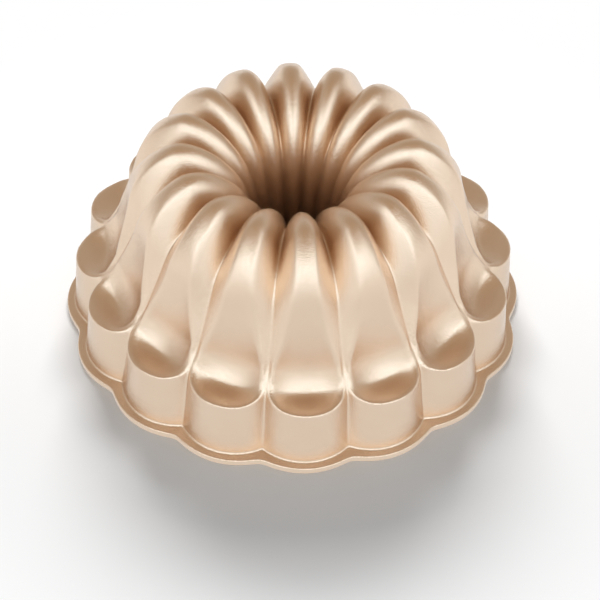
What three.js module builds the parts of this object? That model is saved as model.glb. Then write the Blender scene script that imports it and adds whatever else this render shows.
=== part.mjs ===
import * as THREE from 'three';

// Sizes in millimetres, leans in degrees. Heights count from the top of the flange.
const fluteCount = 16;
const creaseRadius = 112.3;
const creaseHeight = 35.9;
const creaseLean = 10.5;
const lobeBulge = 7.2;
const lobeLean = 4.2;
const flangeReach = 4.55;
const notchReach = 7.2;
const notchSoftness = 0.12;
const flangeThickness = 3.8;
const footFillet = 1.5;
const webStep = 7.3;
const webRise = 5.6;
const webSoftness = 5;
const webStand = 3;
const grooveLean = 25;
const saddleRadius = 54.8;
const saddleHeight = 91.1;
const shoulderRadius = 30.9;
const mouthRadius = 27.5;
const boreLean = 12;
const dishFloor = 31;
const dishMiddle = 110;
const webShare = 0.1;
const bowlSlack = 0.14;
const sweepRadius = 18;
const frontRise = 8;
const rampLean = 81;
const crownHeight = 111.6;
const crownRadius = 40.2;
const crownBulge = 0.8;
const ribFlat = 0.38;
const ribSlack = 0.05;
const boreRibShare = 0.13;
const lipRounding = 8.5;
const ridgeRounding = 3;
const wallThickness = 3.2;
const liningThickness = 0.35;
const liningMargin = 0.4;

// Bearings in degrees round the middle of the pan's section: 0 at the rim, 90 up, 180 at the bore's end.
const webBearing = 42;
const cornerBearing = 47;
const flareBearing = 75.5;
const roundBearing = 72;
const crownBearing = 86.5;
const ribFadeSpan = 14;

const ringRadius = creaseRadius / 2;
const halfFlute = Math.PI / fluteCount;
const dishWidth = 1 - webShare;
const footBearing = Math.atan2(footFillet, creaseRadius - ringRadius);
const { degToRad: radians, radToDeg, smoothstep: ease, lerp } = THREE.MathUtils;

function softMin(a, b, rounding) {
  const gap = Math.abs(a - b);
  const fillet = gap < rounding ? (rounding - gap) ** 2 / (4 * rounding) : 0;
  return Math.min(a, b) - fillet;
}

function pointAt(radius, height, size, angle) {
  return new THREE.Vector2(radius + size * Math.cos(angle), height + size * Math.sin(angle));
}

function towards(from, to, length) {
  return to.clone().sub(from).setLength(length).add(from);
}

// The line down the bottom of a groove: skirt crease, web between the dishes, shoulder, mouth and bore.
function groovePath() {
  const foot = new THREE.Vector2(creaseRadius, 0);
  const creaseDrift = creaseHeight * Math.tan(radians(creaseLean));
  const creaseTop = new THREE.Vector2(creaseRadius - creaseDrift, creaseHeight);
  const webTop = new THREE.Vector2(creaseTop.x - webStep, creaseTop.y + webRise);
  const shoulder = pointAt(saddleRadius, saddleHeight - shoulderRadius, shoulderRadius, radians(grooveLean));
  const boreAngle = Math.PI - radians(boreLean);
  const mouth = pointAt(saddleRadius, saddleHeight - mouthRadius, mouthRadius, boreAngle);
  const before = towards(creaseTop, foot, webSoftness);
  const after = towards(webTop, shoulder, webSoftness);
  const path = new THREE.Path([foot, before]);
  path.bezierCurveTo(creaseTop.x, creaseTop.y, webTop.x, webTop.y, after.x, after.y);
  path.absarc(saddleRadius, saddleHeight - shoulderRadius, shoulderRadius, radians(grooveLean), Math.PI / 2);
  path.absarc(saddleRadius, saddleHeight - mouthRadius, mouthRadius, Math.PI / 2, boreAngle);
  path.lineTo(mouth.x - mouth.y * Math.tan(radians(boreLean)), 0);
  return path.getPoints(10);
}

// The line along the middle of a flute: dish floor, sweep, ramp and crown.
function crestPath() {
  const lean = radians(rampLean);
  const sweepStart = 1.5 * Math.PI + radians(frontRise);
  const sweepEnd = 1.5 * Math.PI - lean;
  const sweepHeight = dishFloor + sweepRadius;
  const lip = pointAt(dishMiddle, sweepHeight, sweepRadius, sweepStart);
  const rampFoot = pointAt(dishMiddle, sweepHeight, sweepRadius, sweepEnd);
  const outward = new THREE.Vector2(Math.sin(lean), Math.cos(lean));
  const crownLevel = crownHeight - crownRadius;
  const crownMiddle = (outward.dot(rampFoot) - crownRadius - outward.y * crownLevel) / outward.x;
  const path = new THREE.Path();
  path.moveTo(lip.x + ringRadius, lip.y + ringRadius * Math.tan(radians(frontRise)));
  path.absarc(dishMiddle, sweepHeight, sweepRadius, sweepStart, sweepEnd, true);
  path.absarc(crownMiddle, crownLevel, crownRadius, Math.PI / 2 - lean, Math.PI / 2);
  path.lineTo(crownMiddle - ringRadius, crownHeight);
  return path.getPoints(10);
}

function leaningLine(radius, lean) {
  const top = new THREE.Vector2(radius - saddleHeight * Math.tan(radians(lean)), saddleHeight);
  return [new THREE.Vector2(radius, 0), top];
}

function insetPath(points, depth) {
  return points.map((point, i) => {
    const before = points[Math.max(i - 1, 0)];
    const after = points[Math.min(i + 1, points.length - 1)];
    const along = after.clone().sub(before).normalize();
    return new THREE.Vector2(point.x - along.y * depth, point.y + along.x * depth);
  });
}

function bearing(point) {
  return Math.atan2(point.y, point.x - ringRadius);
}

// Distance from the ring to a path along one bearing.
function reach(path, angle) {
  const turn = Math.max(angle, bearing(path[0]));
  const last = path.length - 2;
  const index = path.findIndex((point, i) => i === last || bearing(path[i + 1]) >= turn);
  const start = path[index].clone().sub(new THREE.Vector2(ringRadius, 0));
  const run = path[index + 1].clone().sub(path[index]);
  const ray = new THREE.Vector2(Math.cos(turn), Math.sin(turn));
  return start.cross(run) / ray.cross(run);
}

// Radius of a lobe: the circle through two neighbouring creases and the lobe's middle.
function lobeRadiusAt(share, creaseAt, middle) {
  const chord = creaseAt * Math.cos(halfFlute);
  const half = creaseAt * Math.sin(halfFlute);
  const radius = ((middle - chord) ** 2 + half ** 2) / (2 * (middle - chord));
  const centre = middle - radius;
  const turn = share * halfFlute;
  return centre * Math.cos(turn) + Math.sqrt(radius ** 2 - (centre * Math.sin(turn)) ** 2);
}

function skinPaths(inset) {
  const grooveInset = 1.25 * inset;
  const groove = insetPath(groovePath(), grooveInset);
  const crest = insetPath(crestPath(), inset);
  const web = radians(webBearing);
  return {
    groove,
    crest,
    crease: insetPath(leaningLine(creaseRadius, creaseLean), grooveInset),
    lobe: insetPath(leaningLine(creaseRadius + lobeBulge, lobeLean), inset),
    dishDepth: webStand + reach(groove, web) - reach(crest, web),
  };
}

function lobeHeight(skin, angle, share) {
  const low = Math.min(angle, radians(webBearing + 8));
  const creaseAt = ringRadius + reach(skin.crease, low) * Math.cos(low);
  const middle = ringRadius + reach(skin.lobe, low) * Math.cos(low);
  return (lobeRadiusAt(share, creaseAt, middle) - creaseAt) / Math.cos(low);
}

// Height of a flute's middle over the groove, fading as it runs down the bore.
function ribRise(skin, degrees) {
  const outer = radians(Math.min(degrees, crownBearing));
  const inward = Math.max(degrees - crownBearing, 0) / ribFadeSpan;
  const fade = lerp(boreRibShare, 1, 1 / (1 + inward ** 2));
  return (reach(skin.crest, outer) - reach(skin.groove, outer)) * fade;
}

// Half-width between the ridges: narrow over the crown, spreading to the dish.
function flatShare(degrees) {
  return lerp(dishWidth, ribFlat, ease(degrees, cornerBearing, flareBearing));
}

// Hollow of the spoon, turning to a slight bulge over the crown.
function spoonDepth(skin, degrees) {
  return lerp(skin.dishDepth, -crownBulge, ease(degrees, webBearing, flareBearing));
}

// Round hollow: nothing along the middle, one at the edges, which stand upright where the slack is nothing.
function bowl(across, slack) {
  const roundness = 1 - slack;
  const rise = 1 - Math.sqrt(1 - Math.min(roundness * across, 0.995) ** 2);
  return rise / (1 - Math.sqrt(1 - roundness ** 2));
}

function dishHeight(skin, angle, share) {
  const degrees = radToDeg(angle);
  const across = Math.abs(share) / flatShare(degrees);
  return ribRise(skin, degrees) + spoonDepth(skin, degrees) * bowl(across, bowlSlack);
}

function wallHeight(skin, angle, share) {
  const degrees = radToDeg(angle);
  const edge = ribRise(skin, degrees) + spoonDepth(skin, degrees);
  const facet = edge * (1 - Math.abs(share)) / (1 - flatShare(degrees));
  return lerp(lobeHeight(skin, angle, share), facet, ease(degrees, webBearing - 6, webBearing + 4));
}

// Height over the groove: ridged beside the dish and the ramp, round over the crown and in the bore.
function fluteHeight(skin, angle, share) {
  const degrees = radToDeg(angle);
  const rounding = lerp(lipRounding, ridgeRounding, ease(degrees, webBearing, webBearing + 12));
  const ridged = softMin(wallHeight(skin, angle, share), dishHeight(skin, angle, share), rounding);
  const rounded = ribRise(skin, degrees) * (1 - bowl(Math.abs(share), ribSlack));
  return lerp(ridged, rounded, ease(degrees, roundBearing, crownBearing + 5));
}

function skinPoint(skin, angle, share) {
  return pointAt(ringRadius, 0, reach(skin.groove, angle) + fluteHeight(skin, angle, share), angle);
}

// Bearing of the lip in the middle of a flute, where the skirt wall runs out into the dish.
function lipBearing(skin) {
  let low = radians(1);
  let high = radians(webBearing);
  for (let step = 0; step < 20; step += 1) {
    const middle = (low + high) / 2;
    const below = wallHeight(skin, middle, 0) < dishHeight(skin, middle, 0);
    low = below ? middle : low;
    high = below ? high : middle;
  }
  return low;
}

// A row of the surface: the skirt up to the lip, the dish up to the web, the crown, then the bore.
function rowBearing(lipMiddle, level, share) {
  const round = 1 - Math.sqrt(1 - Math.min(Math.abs(share) / dishWidth, 1) ** 2);
  const lip = lerp(lipMiddle, radians(webBearing), round);
  const stops = [footBearing, lip, radians(webBearing + 3), radians(100), Math.PI];
  const span = Math.min(Math.floor(level), 3);
  const part = level - span;
  const pace = [1 - (1 - part) ** 2, part ** 1.5, part, part][span];
  return lerp(stops[span], stops[span + 1], pace);
}

// Columns follow the ridges: an even spread on the skirt, gathered to the flat of the rib above it.
function columnShare(even, ridge, level) {
  const nominal = lerp(webBearing, 100, THREE.MathUtils.clamp(level - 2, 0, 1));
  const edge = lerp(ridge, flatShare(nominal), ease(level, 1, 2));
  const away = Math.abs(even);
  const share = away < ridge ? away / ridge * edge : edge + (away - ridge) / (1 - ridge) * (1 - edge);
  return Math.sign(even) * share;
}

function ringOf(columns, level, profile) {
  const ridge = Math.ceil(columns / 4) / (columns / 2);
  const ring = [];
  for (let i = 0; i < fluteCount * columns; i += 1) {
    const even = 2 * (i % columns) / columns - 1;
    const share = columnShare(even, ridge, level);
    const turn = (2 * Math.floor(i / columns) + share) * halfFlute - Math.PI / 2;
    const { x: radius, y: height } = profile(share);
    const turned = new THREE.Vector2(radius * Math.cos(turn), radius * Math.sin(turn));
    ring.push(new THREE.Vector3(turned.x, turned.y, height + flangeThickness));
  }
  return ring;
}

function spread(from, to, steps) {
  return Array.from({ length: steps }, (item, i) => from + (to - from) * i / steps);
}

// Rows of the lining keep to the bearings of the wall that it is bonded to.
function skinRings(inset, columns, steps) {
  const skin = skinPaths(inset);
  const lipMiddle = lipBearing(skinPaths(Math.min(inset, wallThickness)));
  const levels = [...steps.flatMap((count, span) => spread(span, span + 1, count)), steps.length];
  return levels.map((level) => ringOf(columns, level, (share) => {
    return skinPoint(skin, rowBearing(lipMiddle, level, share), share);
  }));
}

function footRing(inset, columns, fillet) {
  const skin = skinPaths(inset);
  return ringOf(columns, 0, (share) => skinPoint(skin, 0, share).add(new THREE.Vector2(fillet, 0)));
}

// Rim outline: wider lobes with softened notches between them.
function flangeOutline(share) {
  const edge = 1 - Math.abs(share);
  const whole = Math.hypot(1, notchSoftness) - notchSoftness;
  const soft = 1 - (Math.hypot(edge, notchSoftness) - notchSoftness) / whole;
  return lobeRadiusAt(soft, creaseRadius + notchReach, creaseRadius + lobeBulge + flangeReach);
}

function flangeRing(height, columns) {
  return ringOf(columns, 0, (share) => new THREE.Vector2(flangeOutline(share), height));
}

function dropRing(ring, height) {
  return ring.map((point) => new THREE.Vector3(point.x, point.y, height));
}

// Triangles between two rings, which may have different numbers of points.
function bridge(low, high) {
  const faces = [];
  let i = 0;
  let j = 0;
  while (i < low.length || j < high.length) {
    const a = low[i % low.length];
    const b = high[j % high.length];
    const nextA = low[(i + 1) % low.length];
    const nextB = high[(j + 1) % high.length];
    const lead = (i + 1) / low.length - (j + 1) / high.length;
    const choice = lead || nextA.distanceTo(b) - nextB.distanceTo(a);
    faces.push(a, choice <= 0 ? nextA : nextB, b);
    i += choice <= 0 ? 1 : 0;
    j += choice <= 0 ? 0 : 1;
  }
  return faces;
}

function solidFrom(rings) {
  const faces = rings.flatMap((ring, i) => bridge(ring, rings[(i + 1) % rings.length]));
  const geometry = new THREE.BufferGeometry().setFromPoints(faces);
  geometry.computeVertexNormals();
  return geometry;
}

const cavityColumns = 6;
const wallColumns = 8;
const cavitySteps = [1, 4, 4, 3];
const wallSteps = [2, 8, 8, 4];
const bondRings = skinRings(wallThickness, cavityColumns, cavitySteps);
const liningRings = skinRings(wallThickness + liningThickness, cavityColumns, cavitySteps);

function shellSolid() {
  const rim = [flangeRing(-flangeThickness, wallColumns), flangeRing(0, wallColumns)];
  const wall = [footRing(0, wallColumns, footFillet), ...skinRings(0, wallColumns, wallSteps)];
  const cavity = [...bondRings].reverse();
  const foot = [dropRing(bondRings[0], liningMargin), dropRing(bondRings[0], 0)];
  return solidFrom([...rim, ...wall, ...cavity, ...foot]);
}

function liningSolid() {
  const outer = [dropRing(bondRings[0], liningMargin), ...bondRings];
  const inner = [dropRing(liningRings[0], liningMargin), ...liningRings];
  return solidFrom([...outer, ...inner.reverse()]);
}

function piece(name, geometry, color, roughness) {
  const coat = new THREE.MeshStandardMaterial({ color, metalness: 0.8, roughness });
  const mesh = new THREE.Mesh(geometry, coat);
  mesh.name = name;
  return mesh;
}

const pan = new THREE.Group();
pan.name = 'fluted_tube_pan';
pan.add(piece('cast_shell', shellSolid(), 0xd8b994, 0.35));
pan.add(piece('nonstick_lining', liningSolid(), 0xc9a77f, 0.45));

export default pan;
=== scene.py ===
import math
import bpy
import numpy as np
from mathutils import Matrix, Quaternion, Vector


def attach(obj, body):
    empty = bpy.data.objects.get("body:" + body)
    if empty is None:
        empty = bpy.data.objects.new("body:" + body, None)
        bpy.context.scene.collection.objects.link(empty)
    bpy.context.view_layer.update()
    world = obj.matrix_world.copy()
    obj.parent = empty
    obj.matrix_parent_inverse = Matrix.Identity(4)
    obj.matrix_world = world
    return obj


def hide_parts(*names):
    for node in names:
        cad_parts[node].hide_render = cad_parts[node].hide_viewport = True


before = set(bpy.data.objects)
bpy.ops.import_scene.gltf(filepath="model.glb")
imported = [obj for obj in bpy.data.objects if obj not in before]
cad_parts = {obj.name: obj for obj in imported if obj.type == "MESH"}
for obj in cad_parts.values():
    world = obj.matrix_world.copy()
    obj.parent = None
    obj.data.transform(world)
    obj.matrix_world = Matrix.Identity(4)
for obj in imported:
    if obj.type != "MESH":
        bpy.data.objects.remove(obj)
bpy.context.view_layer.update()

# One flute, in millimetres and degrees, with heights from the top of the flange.
# A bearing is a turn about the middle of the wall's section: 0 outside, 90 over it, 180 in the bore.
# A share runs across half a flute: 0 along its middle, 1 in the groove.
fluteShape = {
    "flutes": 16,
    "creaseRadius": 112.3, "creaseHeight": 35.9, "creaseLean": 10.5,  # crease between two skirt lobes
    "lobeBulge": 7.2, "lobeLean": 4.2,
    "webStep": 7.3, "webRise": 5.6, "webSoft": 5.0, "webStand": 1.7,  # web between two dishes
    "webBearing": 42.0, "webSpan": 6.0, "webRounding": 0.1,
    "grooveLean": 25.0, "grooveRounding": 0.03, "shoulderRadius": 30.9,
    "saddleRadius": 54.8, "saddleHeight": 91.1, "mouthRadius": 27.5,
    "boreLean": 28.0, "funnelShare": 0.15, "tubeShare": 0.6, "boreFootLean": 5.0, "boreFoot": 16.5,
    "sweepMiddle": 115.9, "sweepFloor": 25.9, "sweepRadius": 24.0, "rampLean": 81.0,  # crest line
    "crownHeight": 111.6, "crownRadius": 40.2, "crownBulge": 0.8, "crownBearing": 86.5, "crownSpan": 5.0,
    "pocketRadius": 103.0, "pocketFloor": 29.5, "pocketRise": 19.5,  # pocket behind the lip
    "pocketDepth": 12.0, "heelRounding": 11.0, "bowlRound": 0.86,
    "dishWidth": 0.9, "ribFlat": 0.38, "waistDraw": 1.6, "waistSoft": 0.08,  # spoon dish and its waist
    "hollowBearing": 44.0, "levelBearing": 79.0, "cornerBearing": 47.0, "flareBearing": 75.5,
    "ribRound": 0.95, "roundBearing": 72.0, "boreRibShare": 0.17, "fadeSpan": 14.0,  # rib over the crown
    "lipRounding": 15.0, "sideLipRounding": 9.0, "lipMiddle": 0.45, "lipSide": 0.85,
    "ridgeRounding": 1.6,
    "ridgeFrom": -8.0, "facetFrom": -6.0, "facetBy": 4.0, "lobeEnd": 8.0,  # degrees from the web's bearing
}
# rim flange that the pan stands on
rimFlange = {"thickness": 3.8, "reach": 124.05, "notchReach": 119.5, "notchSoftness": 0.12,
             "footFillet": 1.5, "edgeRound": 0.9}
# wall and coat; the wall is grooveWall times as thick under a groove
wallBuild = {"wall": 3.2, "grooveWall": 1.25, "coat": 0.35, "coatMargin": 0.4}
# rows up the skirt, over the lip and dish, over the crown and down the bore, with the bearings between them
meshLay = {"columns": 36, "outside": (9, 46, 36, 20), "inside": (4, 10, 14, 8), "flangeEdge": 4, "fillet": 5,
           "spanBearings": (20, 47, 100, 180), "ridgeColumn": 0.44, "ridgeGather": 1.5, "evenPart": 0.45,
           "mergeWithin": 0.00002}

ringRadius = fluteShape["creaseRadius"] / 2
halfFlute = math.pi / fluteShape["flutes"]


def ease(value, low, high):
    x = np.clip((value - low) / (high - low), 0, 1)
    return x * x * (3 - 2 * x)


def mixed(a, b, part):
    return a + (b - a) * part


def softMin(a, b, rounding):
    gap = np.abs(a - b)
    return np.minimum(a, b) - np.where(gap < rounding, (rounding - gap) ** 2 / (4 * rounding), 0)


# sideways run of a lean for each unit of height
def run(lean):
    return math.tan(math.radians(lean))


def arc(radius, height, size, start, end, points=90):
    turn = np.radians(np.linspace(start, end, points))
    return np.c_[radius + size * np.cos(turn), height + size * np.sin(turn)]


def finePath(*parts, step=0.7):
    points = np.vstack(parts)
    pieces = []
    for a, b in zip(points[:-1], points[1:]):
        steps = max(int(np.hypot(*(b - a)) / step), 1)
        pieces.append(np.linspace(a, b, steps, endpoint=False))
    return np.vstack(pieces + [points[-1:]])


# soft bend from start to end, drawn towards two corners
def bend(start, first, second, end, points=40):
    s = np.linspace(0, 1, points)[:, None]
    return ((1 - s) ** 3 * start + 3 * s * (1 - s) ** 2 * first
            + 3 * s ** 2 * (1 - s) * second + s ** 3 * end)


def towards(start, end, length):
    return start + (end - start) * length / np.hypot(*(end - start))


# funnel below the mouth, steepening to the tube's lower end
def borePath(start):
    s = fluteShape
    foot = np.array([s["boreFoot"], 0.0])
    funnel = s["funnelShare"] * start[1]
    tube = s["tubeShare"] * start[1]
    return bend(start, start - (funnel * run(s["boreLean"]), funnel),
                foot + (tube * run(s["boreFootLean"]), tube), foot)


# line down the bottom of a groove: skirt crease, web, shoulder, mouth, bore
def groovePath():
    s = fluteShape
    foot = np.array([s["creaseRadius"], 0.0])
    top = foot + (-s["creaseHeight"] * run(s["creaseLean"]), s["creaseHeight"])
    step = top + (-s["webStep"], s["webRise"])
    shoulder = arc(s["saddleRadius"], s["saddleHeight"] - s["shoulderRadius"], s["shoulderRadius"],
                   s["grooveLean"], 90)
    mouth = arc(s["saddleRadius"], s["saddleHeight"] - s["mouthRadius"], s["mouthRadius"],
                90, 180 - s["boreLean"])
    web = bend(towards(top, foot, s["webSoft"]), top, step, towards(step, shoulder[0], s["webSoft"]))
    return finePath([foot], web, shoulder, mouth, borePath(mouth[-1]))


# line along the middle of a flute: dish floor, sweep, ramp, crown
def crestPath():
    s = fluteShape
    pastLip = 30
    pastCrown = 40
    sweep = arc(s["sweepMiddle"], s["sweepFloor"] + s["sweepRadius"], s["sweepRadius"],
                270, 270 - s["rampLean"])
    lean = math.radians(s["rampLean"])
    out = np.array([math.sin(lean), math.cos(lean)])
    level = s["crownHeight"] - s["crownRadius"]
    middle = (out @ sweep[-1] - s["crownRadius"] - out[1] * level) / out[0]  # ramp runs on into the crown
    crown = arc(middle, level, s["crownRadius"], 90 - s["rampLean"], 90)
    return finePath([sweep[0] + (pastLip, 0)], sweep, crown, [(middle - pastCrown, s["crownHeight"])])


# floor of the pocket that catches the sweep behind the lip, and then dives under the ramp
def pocketPath():
    s = fluteShape
    pastLip = 30
    underRamp = 25
    dive = (ringRadius + 2, 12)
    slope = run(s["pocketRise"])
    ends = (s["creaseRadius"] + pastLip, ringRadius + underRamp)
    return finePath([(end, s["pocketFloor"] + slope * (end - s["pocketRadius"])) for end in ends], [dive])


def leaningLine(radius, lean):
    high = fluteShape["saddleHeight"]
    return finePath([(radius, 0), (radius - high * run(lean), high)])


def insetPath(path, depth):
    along = np.gradient(path, axis=0)
    along /= np.linalg.norm(along, axis=1, keepdims=True)
    return path + depth * np.c_[-along[:, 1], along[:, 0]]


# distance from the middle of the section to a path, along a bearing
def reach(path, bearing):
    turn = np.arctan2(path[:, 1], path[:, 0] - ringRadius)
    far = np.hypot(path[:, 0] - ringRadius, path[:, 1])
    order = np.argsort(turn)
    return np.interp(bearing, turn[order], far[order])


# round lobe between two creases
def lobeRadius(share, crease, middle):
    chord = crease * math.cos(halfFlute)
    half = crease * math.sin(halfFlute)
    radius = ((middle - chord) ** 2 + half ** 2) / (2 * (middle - chord))
    centre = middle - radius
    turn = share * halfFlute
    return centre * np.cos(turn) + np.sqrt(radius ** 2 - (centre * np.sin(turn)) ** 2)


# paths of the outside, or of a face set in from it
def skinAt(inset):
    s = fluteShape
    grooveInset = wallBuild["grooveWall"] * inset
    skin = {
        "groove": insetPath(groovePath(), grooveInset),
        "crest": insetPath(crestPath(), inset),
        "pocket": insetPath(pocketPath(), inset),
        "crease": insetPath(leaningLine(s["creaseRadius"], s["creaseLean"]), grooveInset),
        "lobe": insetPath(leaningLine(s["creaseRadius"] + s["lobeBulge"], s["lobeLean"]), inset),
    }
    web = math.radians(s["webBearing"])
    skin["depth"] = s["webStand"] + reach(skin["groove"], web) - reach(skin["crest"], web)
    return skin


# share across a flute, rounded off at the groove
def softShare(share, soft):
    edge = 1 - np.abs(share)
    return 1 - (np.hypot(edge, soft) - soft) / (np.hypot(1, soft) - soft)


# the groove's bottom is rounder where two dishes meet
def grooveSoft(degrees):
    s = fluteShape
    return s["grooveRounding"] + s["webRounding"] * np.exp(-((degrees - s["webBearing"]) / s["webSpan"]) ** 2)


# height of the crest over the groove, fading down the bore
def ribRise(skin, degrees):
    s = fluteShape
    outer = np.radians(np.minimum(degrees, s["crownBearing"]))
    inward = np.maximum(degrees - s["crownBearing"], 0) / s["fadeSpan"]
    fade = mixed(s["boreRibShare"], 1, 1 / (1 + inward ** 2))
    return (reach(skin["crest"], outer) - reach(skin["groove"], outer)) * fade


# share at which the dish ends: wide at the bowl, drawn in to the rib
def flatShare(degrees):
    s = fluteShape
    soft = s["waistSoft"]
    climb = np.clip((degrees - s["cornerBearing"]) / (s["flareBearing"] - s["cornerBearing"]), 0, 1)
    climb = (np.hypot(climb, soft) - soft) / (math.hypot(1, soft) - soft)
    return mixed(s["ribFlat"], s["dishWidth"], (1 - climb) ** s["waistDraw"])


# hollow of the spoon, turning to a slight bulge over the crown
def dishDepth(skin, degrees):
    s = fluteShape
    return mixed(skin["depth"], -s["crownBulge"], ease(degrees, s["hollowBearing"], s["levelBearing"]))


# round bowl: nothing along the middle, one at the edges of the dish
def bowl(across, tight):
    steepest = 0.995
    slope = np.sqrt(1 - np.minimum(tight * np.abs(across), steepest) ** 2)
    return (1 - slope) / (1 - math.sqrt(1 - tight ** 2))


# ramp and pocket floor, run together at the heel
def dishHeight(skin, bearing, share):
    s = fluteShape
    degrees = np.degrees(bearing)
    brim = bowl(share / flatShare(degrees), s["bowlRound"])
    ramp = ribRise(skin, degrees) + dishDepth(skin, degrees) * brim
    pocket = reach(skin["pocket"], bearing) - reach(skin["groove"], bearing)
    pocket = pocket + (skin["depth"] + s["pocketDepth"]) * brim
    return -softMin(-ramp, -pocket, s["heelRounding"])


# skirt lobe below the web, flat facets between ridge and groove above it
def wallHeight(skin, bearing, share):
    s = fluteShape
    degrees = np.degrees(bearing)
    low = np.minimum(bearing, math.radians(s["webBearing"] + s["lobeEnd"]))
    crease = ringRadius + reach(skin["crease"], low) * np.cos(low)
    middle = ringRadius + reach(skin["lobe"], low) * np.cos(low)
    across = softShare(share, grooveSoft(degrees))
    lobe = (lobeRadius(across, crease, middle) - crease) / np.cos(low)
    edge = ribRise(skin, degrees) + dishDepth(skin, degrees)
    facet = edge * (1 - across) / (1 - flatShare(degrees))
    return mixed(lobe, facet, ease(degrees - s["webBearing"], s["facetFrom"], s["facetBy"]))


# wide rounding on the lip, close rounding on the ridges
def edgeRounding(degrees, share):
    s = fluteShape
    lip = mixed(s["lipRounding"], s["sideLipRounding"], ease(np.abs(share), s["lipMiddle"], s["lipSide"]))
    return mixed(lip, s["ridgeRounding"], ease(degrees - s["webBearing"], s["ridgeFrom"], s["facetBy"]))


# radius and height of the skin at a bearing and a share
def skinPoint(skin, bearing, share):
    s = fluteShape
    degrees = np.degrees(bearing)
    ridged = softMin(wallHeight(skin, bearing, share), dishHeight(skin, bearing, share),
                     edgeRounding(degrees, share))
    rounded = ribRise(skin, degrees) * (1 - bowl(softShare(share, s["grooveRounding"]), s["ribRound"]))
    crown = ease(degrees, s["roundBearing"], s["crownBearing"] + s["crownSpan"])
    high = reach(skin["groove"], bearing) + mixed(ridged, rounded, crown)
    return ringRadius + high * np.cos(bearing), high * np.sin(bearing)


def rowBearing(level):
    foot = math.degrees(math.atan2(rimFlange["footFillet"], fluteShape["creaseRadius"] - ringRadius))
    return math.radians(np.interp(level, range(5), (foot, *meshLay["spanBearings"])))


# columns follow the ridges and gather beside them
def columnShare(even, level):
    ridge = meshLay["ridgeColumn"]
    overCrown = meshLay["spanBearings"][2]
    nominal = mixed(fluteShape["webBearing"], overCrown, np.clip(level - 2, 0, 1))
    edge = mixed(ridge, flatShare(nominal), ease(level, 1, 2))
    away = np.abs(even)
    inner = edge * (1 - np.abs(1 - away / ridge) ** meshLay["ridgeGather"])
    part = np.clip((away - ridge) / (1 - ridge), 0, 1)
    outer = edge + mixed(ease(part, 0, 1), part, meshLay["evenPart"]) * (1 - edge)
    return np.sign(even) * np.where(away < ridge, inner, outer)


def flangeRadius(share):
    notch = softShare(share, rimFlange["notchSoftness"])
    return lobeRadius(notch, rimFlange["notchReach"], rimFlange["reach"])


# points in metres on the flute that faces the viewer
def onFlute(share, radius, height):
    turn = share * halfFlute - math.pi / 2
    lifted = height + rimFlange["thickness"] + 0 * share
    return np.stack([radius * np.cos(turn), radius * np.sin(turn), lifted], axis=-1) / 1000


def skinRows(inset, even, counts):
    skin = skinAt(inset)
    levels = np.concatenate([span + np.arange(n) / n for span, n in enumerate(counts)] + [[4.0]])
    rows = []
    for level in levels:
        share = columnShare(even, np.full_like(even, level))
        bearing = np.full_like(even, rowBearing(level))
        rows.append(onFlute(share, *skinPoint(skin, bearing, share)))
    return rows


# small fillet where the skirt stands on the flange
def footRows(even, steps):
    share = columnShare(even, np.zeros_like(even))
    fillet = rimFlange["footFillet"]
    foot, _ = skinPoint(skinAt(0), np.full_like(even, math.atan2(fillet, ringRadius)), share)
    rows = []
    for step in range(steps):
        turn = math.pi / 2 * step / steps
        rows.append(onFlute(share, foot + fillet * (1 - math.sin(turn)), fillet * (1 - math.cos(turn))))
    return rows


# edge of the flange, rounded below and above
def flangeRows(even, steps):
    share = columnShare(even, np.zeros_like(even))
    edge = rimFlange["edgeRound"]
    rows = []
    for middle, start in ((-rimFlange["thickness"] + edge, -90), (-edge, 0)):
        for turn in np.radians(np.linspace(start, start + 90, steps)):
            rows.append(onFlute(share, flangeRadius(share) - edge * (1 - math.cos(turn)),
                                middle + edge * math.sin(turn)))
    return rows


def atHeight(row, height):
    lowered = row.copy()
    lowered[:, 2] = height / 1000
    return lowered


def deselectAll():
    if bpy.context.object and bpy.context.object.mode != "OBJECT":
        bpy.ops.object.mode_set(mode="OBJECT")
    bpy.ops.object.select_all(action="DESELECT")


# one flute from a flat grid: no operator gives this double curve, so its rows are laid by the formula
def layFlute(name, rows):
    deselectAll()
    bpy.ops.mesh.primitive_grid_add(x_subdivisions=len(rows[0]) - 1, y_subdivisions=len(rows) - 1, size=2)
    flute = bpy.context.object
    flute.name = name
    spots = np.empty(len(flute.data.vertices) * 3)
    flute.data.vertices.foreach_get("co", spots)
    spots = spots.reshape(-1, 3)
    column = np.rint((spots[:, 0] + 1) / 2 * (len(rows[0]) - 1)).astype(int)
    row = np.rint((spots[:, 1] + 1) / 2 * (len(rows) - 1)).astype(int)
    flute.data.vertices.foreach_set("co", np.stack(rows)[row, column].ravel())
    flute.data.update()
    return flute


# copies turned about the tube's axis, then joined and merged
def copyRound(flute):
    count = fluteShape["flutes"]
    copies = []
    for k in range(1, count):
        deselectAll()
        flute.select_set(True)
        bpy.context.view_layer.objects.active = flute
        bpy.ops.object.duplicate(linked=False)
        copies.append(bpy.context.object)
        bpy.ops.transform.rotate(value=2 * math.pi * k / count, orient_axis="Z", center_override=(0, 0, 0))
    deselectAll()
    for each in copies + [flute]:
        each.select_set(True)
    bpy.context.view_layer.objects.active = flute
    bpy.ops.object.join()
    bpy.ops.object.mode_set(mode="EDIT")
    bpy.ops.mesh.select_all(action="SELECT")
    bpy.ops.mesh.remove_doubles(threshold=meshLay["mergeWithin"])
    bpy.ops.mesh.normals_make_consistent(inside=False)
    bpy.ops.object.mode_set(mode="OBJECT")
    bpy.ops.object.shade_smooth()
    return flute


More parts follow.
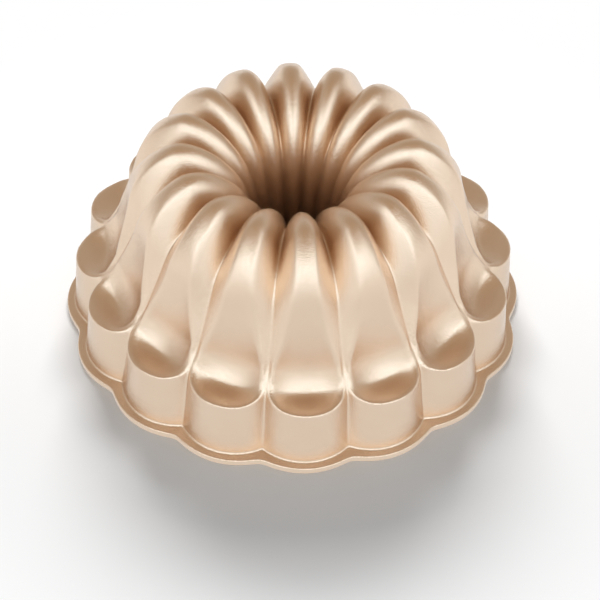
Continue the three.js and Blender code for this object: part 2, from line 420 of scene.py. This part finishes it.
# closed rounds: flange, outside, and back along the bond; bond, and back along the batter side
even = np.linspace(-1, 1, meshLay["columns"] + 1)
outsideRows = skinRows(0, even, meshLay["outside"])
bondRows = skinRows(wallBuild["wall"], even, meshLay["inside"])
coatRows = skinRows(wallBuild["wall"] + wallBuild["coat"], even, meshLay["inside"])
footOfBond = atHeight(bondRows[0], 0)
coatEnd = atHeight(bondRows[0], wallBuild["coatMargin"])
coatLip = atHeight(coatRows[0], wallBuild["coatMargin"])
rimRows = flangeRows(even, meshLay["flangeEdge"]) + footRows(even, meshLay["fillet"])
shellRows = [footOfBond] + rimRows + outsideRows + bondRows[::-1] + [coatEnd, footOfBond]
liningRows = [coatEnd] + bondRows + coatRows[::-1] + [coatLip, coatEnd]

flutedShell = copyRound(layFlute("flutedShell", shellRows))
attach(flutedShell, "root")
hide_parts("cast_shell")
print("fluted shell laid and joined", len(flutedShell.data.polygons))

releaseLining = copyRound(layFlute("releaseLining", liningRows))
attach(releaseLining, "root")
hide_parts("nonstick_lining")
print("release lining laid and joined", len(releaseLining.data.polygons))

# satin champagne gold outside, a deeper and duller gold with less grain on the batter side
goldFinish = {"colour": (0.82, 0.655, 0.51, 1), "deepColour": (0.78, 0.605, 0.46, 1), "roughness": 0.25,
              "cloudScale": 45, "grainScale": 1900, "grain": 0.6, "grainDepth": 0.0003}
coatFinish = {"colour": (0.72, 0.54, 0.38, 1), "deepColour": (0.66, 0.48, 0.33, 1), "roughness": 0.34,
              "cloudScale": 45, "grainScale": 1900, "grain": 0.12, "grainDepth": 0.0003}


def goldMaterial(name, look):
    material = bpy.data.materials.new(name)
    material.use_nodes = True
    nodes, links = material.node_tree.nodes, material.node_tree.links
    shader = nodes["Principled BSDF"]
    shader.inputs["Metallic"].default_value = 1
    shader.inputs["Roughness"].default_value = look["roughness"]
    place = nodes.new("ShaderNodeTexCoord")
    cloud = nodes.new("ShaderNodeTexNoise")  # slow drift of the fired-on colour
    cloud.inputs["Scale"].default_value = look["cloudScale"]
    tint = nodes.new("ShaderNodeMix")
    tint.data_type = "RGBA"
    tint.inputs["A"].default_value = look["deepColour"]
    tint.inputs["B"].default_value = look["colour"]
    grain = nodes.new("ShaderNodeTexNoise")  # blasted grain under the finish
    grain.inputs["Scale"].default_value = look["grainScale"]
    grain.inputs["Detail"].default_value = 1
    bump = nodes.new("ShaderNodeBump")
    bump.inputs["Strength"].default_value = look["grain"]
    bump.inputs["Distance"].default_value = look["grainDepth"]
    links.new(place.outputs["Object"], cloud.inputs["Vector"])
    links.new(cloud.outputs["Fac"], tint.inputs["Factor"])
    links.new(tint.outputs["Result"], shader.inputs["Base Color"])
    links.new(place.outputs["Object"], grain.inputs["Vector"])
    links.new(grain.outputs["Fac"], bump.inputs["Height"])
    links.new(bump.outputs["Normal"], shader.inputs["Normal"])
    return material


def dress(piece, material):
    piece.data.materials.clear()
    piece.data.materials.append(material)


dress(flutedShell, goldMaterial("champagneGold", goldFinish))
dress(releaseLining, goldMaterial("releaseCoat", coatFinish))
print("gold finishes on")

# pale floor with the pan's shadow, fading to plain white round it; the metal sees it as a painted glow, dark
# under the pan as painted shadow and brighter to both sides as painted light
paleFloor = {"size": 8, "colour": (0.9, 0.9, 0.9, 1), "whiteFrom": 0.16, "whiteBy": 0.27, "paintedShadowRadius": 0.118,
             "near": 0.12, "nearLevel": 0.89, "far": 0.3, "farLevel": 1.06}


def mathNode(nodes, operation):
    node = nodes.new("ShaderNodeMath")
    node.operation = operation
    return node


def rangeNode(nodes, low, high, lowLevel=0, highLevel=1):
    node = nodes.new("ShaderNodeMapRange")
    node.inputs["From Min"].default_value = low
    node.inputs["From Max"].default_value = high
    node.inputs["To Min"].default_value = lowLevel
    node.inputs["To Max"].default_value = highLevel
    return node


def floorMaterial(look):
    paper = bpy.data.materials.new("paleFloor")
    paper.use_nodes = True
    nodes, links = paper.node_tree.nodes, paper.node_tree.links
    nodes.remove(nodes["Principled BSDF"])
    seen = nodes.new("ShaderNodeLightPath")
    place = nodes.new("ShaderNodeTexCoord")
    away = nodes.new("ShaderNodeVectorMath")
    away.operation = "LENGTH"
    links.new(place.outputs["Object"], away.inputs[0])

    # what the metal sees: the floor as a painted glow, with painted shadow under the pan and painted light
    # brighter to both sides
    # painted shadow: the glow the metal sees stops within this radius of the axis
    clear = mathNode(nodes, "GREATER_THAN")
    clear.inputs[1].default_value = look["paintedShadowRadius"]
    split = nodes.new("ShaderNodeSeparateXYZ")
    aside = mathNode(nodes, "ABSOLUTE")
    # painted light: the glow grows brighter away from the middle, to both sides
    paintedSideLight = rangeNode(nodes, look["near"], look["far"], look["nearLevel"], look["farLevel"])
    level = mathNode(nodes, "MULTIPLY")
    mirrored = nodes.new("ShaderNodeEmission")
    links.new(away.outputs["Value"], clear.inputs[0])
    links.new(place.outputs["Object"], split.inputs["Vector"])
    links.new(split.outputs["X"], aside.inputs[0])
    links.new(aside.outputs["Value"], paintedSideLight.inputs["Value"])
    links.new(clear.outputs["Value"], level.inputs[0])
    links.new(paintedSideLight.outputs["Result"], level.inputs[1])
    links.new(level.outputs["Value"], mirrored.inputs["Strength"])

    # what the camera sees: the lit floor near the pan, plain white beyond
    lit = nodes.new("ShaderNodeBsdfDiffuse")
    lit.inputs["Color"].default_value = look["colour"]
    white = nodes.new("ShaderNodeEmission")
    fade = rangeNode(nodes, look["whiteFrom"], look["whiteBy"])
    whiten = mathNode(nodes, "MULTIPLY")
    inMetal = nodes.new("ShaderNodeMixShader")
    inView = nodes.new("ShaderNodeMixShader")
    links.new(away.outputs["Value"], fade.inputs["Value"])
    links.new(fade.outputs["Result"], whiten.inputs[0])
    links.new(seen.outputs["Is Camera Ray"], whiten.inputs[1])
    links.new(seen.outputs["Is Glossy Ray"], inMetal.inputs[0])
    links.new(lit.outputs["BSDF"], inMetal.inputs[1])
    links.new(mirrored.outputs["Emission"], inMetal.inputs[2])
    links.new(whiten.outputs["Value"], inView.inputs[0])
    links.new(inMetal.outputs["Shader"], inView.inputs[1])
    links.new(white.outputs["Emission"], inView.inputs[2])
    links.new(inView.outputs["Shader"], nodes["Material Output"].inputs["Surface"])
    return paper


deselectAll()
bpy.ops.mesh.primitive_plane_add(size=paleFloor["size"], location=(0, 0, 0))
studioFloor = bpy.context.object
studioFloor.name = "studioFloor"
studioFloor.data.materials.append(floorMaterial(paleFloor))
print("pale floor laid")

# the metal sees white walls that turn dim and warm towards the ceiling, and dimmer behind the pan;
# the floor gets a plain white fill from them, and the camera sees plain white
room = {"walls": (1, 1, 1, 1), "highWalls": (0.67, 0.62, 0.56, 1), "ceiling": (0.53, 0.41, 0.30, 1),
        "highWallRise": 0.1, "ceilingRise": 0.9, "front": -0.3, "rear": 0.5, "back": 0.88, "fill": 0.4}


def roomLight(look):
    world = bpy.data.worlds.new("studioRoom")
    world.use_nodes = True
    nodes, links = world.node_tree.nodes, world.node_tree.links
    mirrored = nodes["Background"]
    place = nodes.new("ShaderNodeTexCoord")
    split = nodes.new("ShaderNodeSeparateXYZ")
    shade = nodes.new("ShaderNodeValToRGB")
    stops = shade.color_ramp.elements
    stops[0].color = look["walls"]
    stops[1].position = look["ceilingRise"]
    stops[1].color = look["ceiling"]
    stops.new(look["highWallRise"]).color = look["highWalls"]
    dim = rangeNode(nodes, look["front"], look["rear"], 1, look["back"])
    plain = nodes.new("ShaderNodeBackground")
    plain.inputs["Color"].default_value = look["walls"]
    fill = nodes.new("ShaderNodeBackground")
    fill.inputs["Color"].default_value = look["walls"]
    fill.inputs["Strength"].default_value = look["fill"]
    seen = nodes.new("ShaderNodeLightPath")
    inMetal = nodes.new("ShaderNodeMixShader")
    onFloor = nodes.new("ShaderNodeMixShader")
    links.new(place.outputs["Generated"], split.inputs["Vector"])
    links.new(split.outputs["Y"], dim.inputs["Value"])
    links.new(split.outputs["Z"], shade.inputs["Fac"])
    links.new(dim.outputs["Result"], mirrored.inputs["Strength"])
    links.new(shade.outputs["Color"], mirrored.inputs["Color"])
    links.new(seen.outputs["Is Glossy Ray"], inMetal.inputs[0])
    links.new(plain.outputs["Background"], inMetal.inputs[1])
    links.new(mirrored.outputs["Background"], inMetal.inputs[2])
    links.new(seen.outputs["Is Diffuse Ray"], onFloor.inputs[0])
    links.new(inMetal.outputs["Shader"], onFloor.inputs[1])
    links.new(fill.outputs["Background"], onFloor.inputs[2])
    links.new(onFloor.outputs["Shader"], nodes["World Output"].inputs["Surface"])
    return world


bpy.context.scene.world = roomLight(room)

# a bank of three cool soft boxes before the pan, and a lamp behind it that lays the shadow
lamps = {"boxAway": 1.33, "boxRise": 33, "boxTurns": (-46, 0, 46), "boxSize": (1.1, 1.0), "boxPower": 3.9,
         "boxColour": (0.66, 0.84, 1.0), "lampAway": 1.47, "lampRise": 38, "lampTurn": 180,
         "lampSize": (0.8, 0.4), "lampPower": 26, "aimHeight": 0.05}


# direction from the pan, turned from the front
def outFromPan(turn, rise):
    turn, rise = math.radians(turn), math.radians(rise)
    return Vector((math.sin(turn) * math.cos(rise), -math.cos(turn) * math.cos(rise), math.sin(rise)))


def softBox(name, place, size, power):
    light = bpy.data.lights.new(name, "AREA")
    light.shape = "RECTANGLE"
    light.size, light.size_y = size
    light.energy = power
    holder = bpy.data.objects.new(name, light)
    bpy.context.collection.objects.link(holder)
    holder.location = place
    aim = Vector((0, 0, lamps["aimHeight"]))
    holder.rotation_euler = (aim - place).to_track_quat("-Z", "Y").to_euler()
    return holder


for boxTurn in lamps["boxTurns"]:
    boxPlace = outFromPan(boxTurn, lamps["boxRise"]) * lamps["boxAway"]
    frontBox = softBox("frontBox", boxPlace, lamps["boxSize"], lamps["boxPower"])
    frontBox.data.color = lamps["boxColour"]
    frontBox.visible_diffuse = False  # shapes the metal only
lampPlace = outFromPan(lamps["lampTurn"], lamps["lampRise"]) * lamps["lampAway"]
rearLamp = softBox("rearLamp", lampPlace, lamps["lampSize"], lamps["lampPower"])
rearLamp.visible_glossy = False  # lights the floor only
print("studio lit")

# camera at the photograph's angle, aimed at the middle of the flange
viewPoint = {"turn": -4.437, "rise": 46.185, "roll": 1.675, "away": 0.9891, "lens": 107.52,
             "sensor": 36, "shift": (0.01112, -0.01331), "farthest": 50}
outward = outFromPan(viewPoint["turn"], viewPoint["rise"])
eye = bpy.data.cameras.new("photoCamera")
eye.lens = viewPoint["lens"]
eye.sensor_width = viewPoint["sensor"]
eye.shift_x, eye.shift_y = viewPoint["shift"]
eye.clip_end = viewPoint["farthest"]
camera = bpy.data.objects.new("photoCamera", eye)
bpy.context.collection.objects.link(camera)
camera.location = Vector((0, 0, rimFlange["thickness"] / 1000)) + outward * viewPoint["away"]
levelView = (-outward).to_track_quat("-Z", "Y")
camera.rotation_euler = (levelView @ Quaternion((0, 0, 1), math.radians(viewPoint["roll"]))).to_euler()
bpy.context.scene.camera = camera
bpy.context.scene.view_settings.view_transform = "Standard"
print("camera set")
